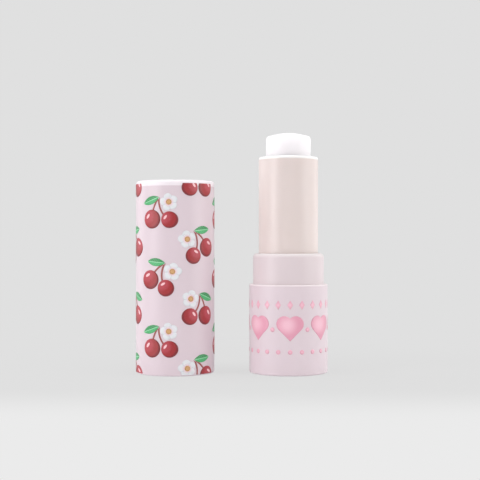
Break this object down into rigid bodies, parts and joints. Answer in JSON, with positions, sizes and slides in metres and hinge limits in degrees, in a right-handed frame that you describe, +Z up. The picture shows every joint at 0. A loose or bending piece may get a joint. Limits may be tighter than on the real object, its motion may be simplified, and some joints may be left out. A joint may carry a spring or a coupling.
{
  "type": "lip balm stick",
  "caption": "Twist-up lip balm stick: a round base and collar hold a pale turning tube with the white balm wound a little out of it, and the printed cap stands beside it.",
  "frame": {"origin": "centre of the base's underside, on the stick's axis", "axes": "+Z up along the stick; +X from the cap towards the stick; +Y away from the viewer"},
  "size_m": [0.0521, 0.0214, 0.0648],
  "materials": {
    "base": "satin pale pink moulded plastic with a pink printed ornament",
    "collar": "satin pale pink moulded plastic",
    "tube": "milky, slightly translucent moulded plastic, satin",
    "inner_sleeve": "natural white moulded plastic",
    "ring": "soft dark rubber",
    "balm": "smooth white cast wax with a soft sheen",
    "cap": "satin pale pink moulded plastic with printed fruit",
    "print_red": "thin crimson printing ink",
    "print_green": "thin leaf green printing ink",
    "print_white": "thin white printing ink",
    "print_tan": "thin tan printing ink",
    "print_pink": "thin pink printing ink",
    "print_rose": "thin dusty rose printing ink"
  },
  "bodies": {
    "base": {"base_shell": "base", "collar": "collar", "guide_sleeve": "inner_sleeve", "drag_ring": "ring", "base_print_hearts": "print_pink", "base_print_trims": "print_rose"},
    "tube": {"outer_tube": "tube", "spiral_sleeve": "inner_sleeve"},
    "carrier": {"bullet_cup": "inner_sleeve", "balm": "balm"},
    "cap": {"cap": "cap", "cap_print_cherries": "print_red", "cap_print_greens": "print_green", "cap_print_petals": "print_white", "cap_print_pistils": "print_tan"}
  },
  "joints": [
    {"name": "tube_twist", "type": "hinge", "parent": "base", "child": "tube", "pos_m": [0, 0, 0.04], "axis": [0, 0, -1], "range_deg": [-171.01, 402.76]},
    {"name": "balm_lift", "type": "slide", "parent": "base", "child": "carrier", "axis": [0, 0, 1], "range_m": [-0.0076, 0.0179]},
    {"name": "cap_lift", "type": "slide", "parent": "base", "child": "cap", "axis": [0, 0, 1], "range_m": [0, 0.066]}
  ],
  "couplings": [
    {"joint": "tube_twist", "follows": "balm_lift", "rad_per_m": 392.7}
  ]
}
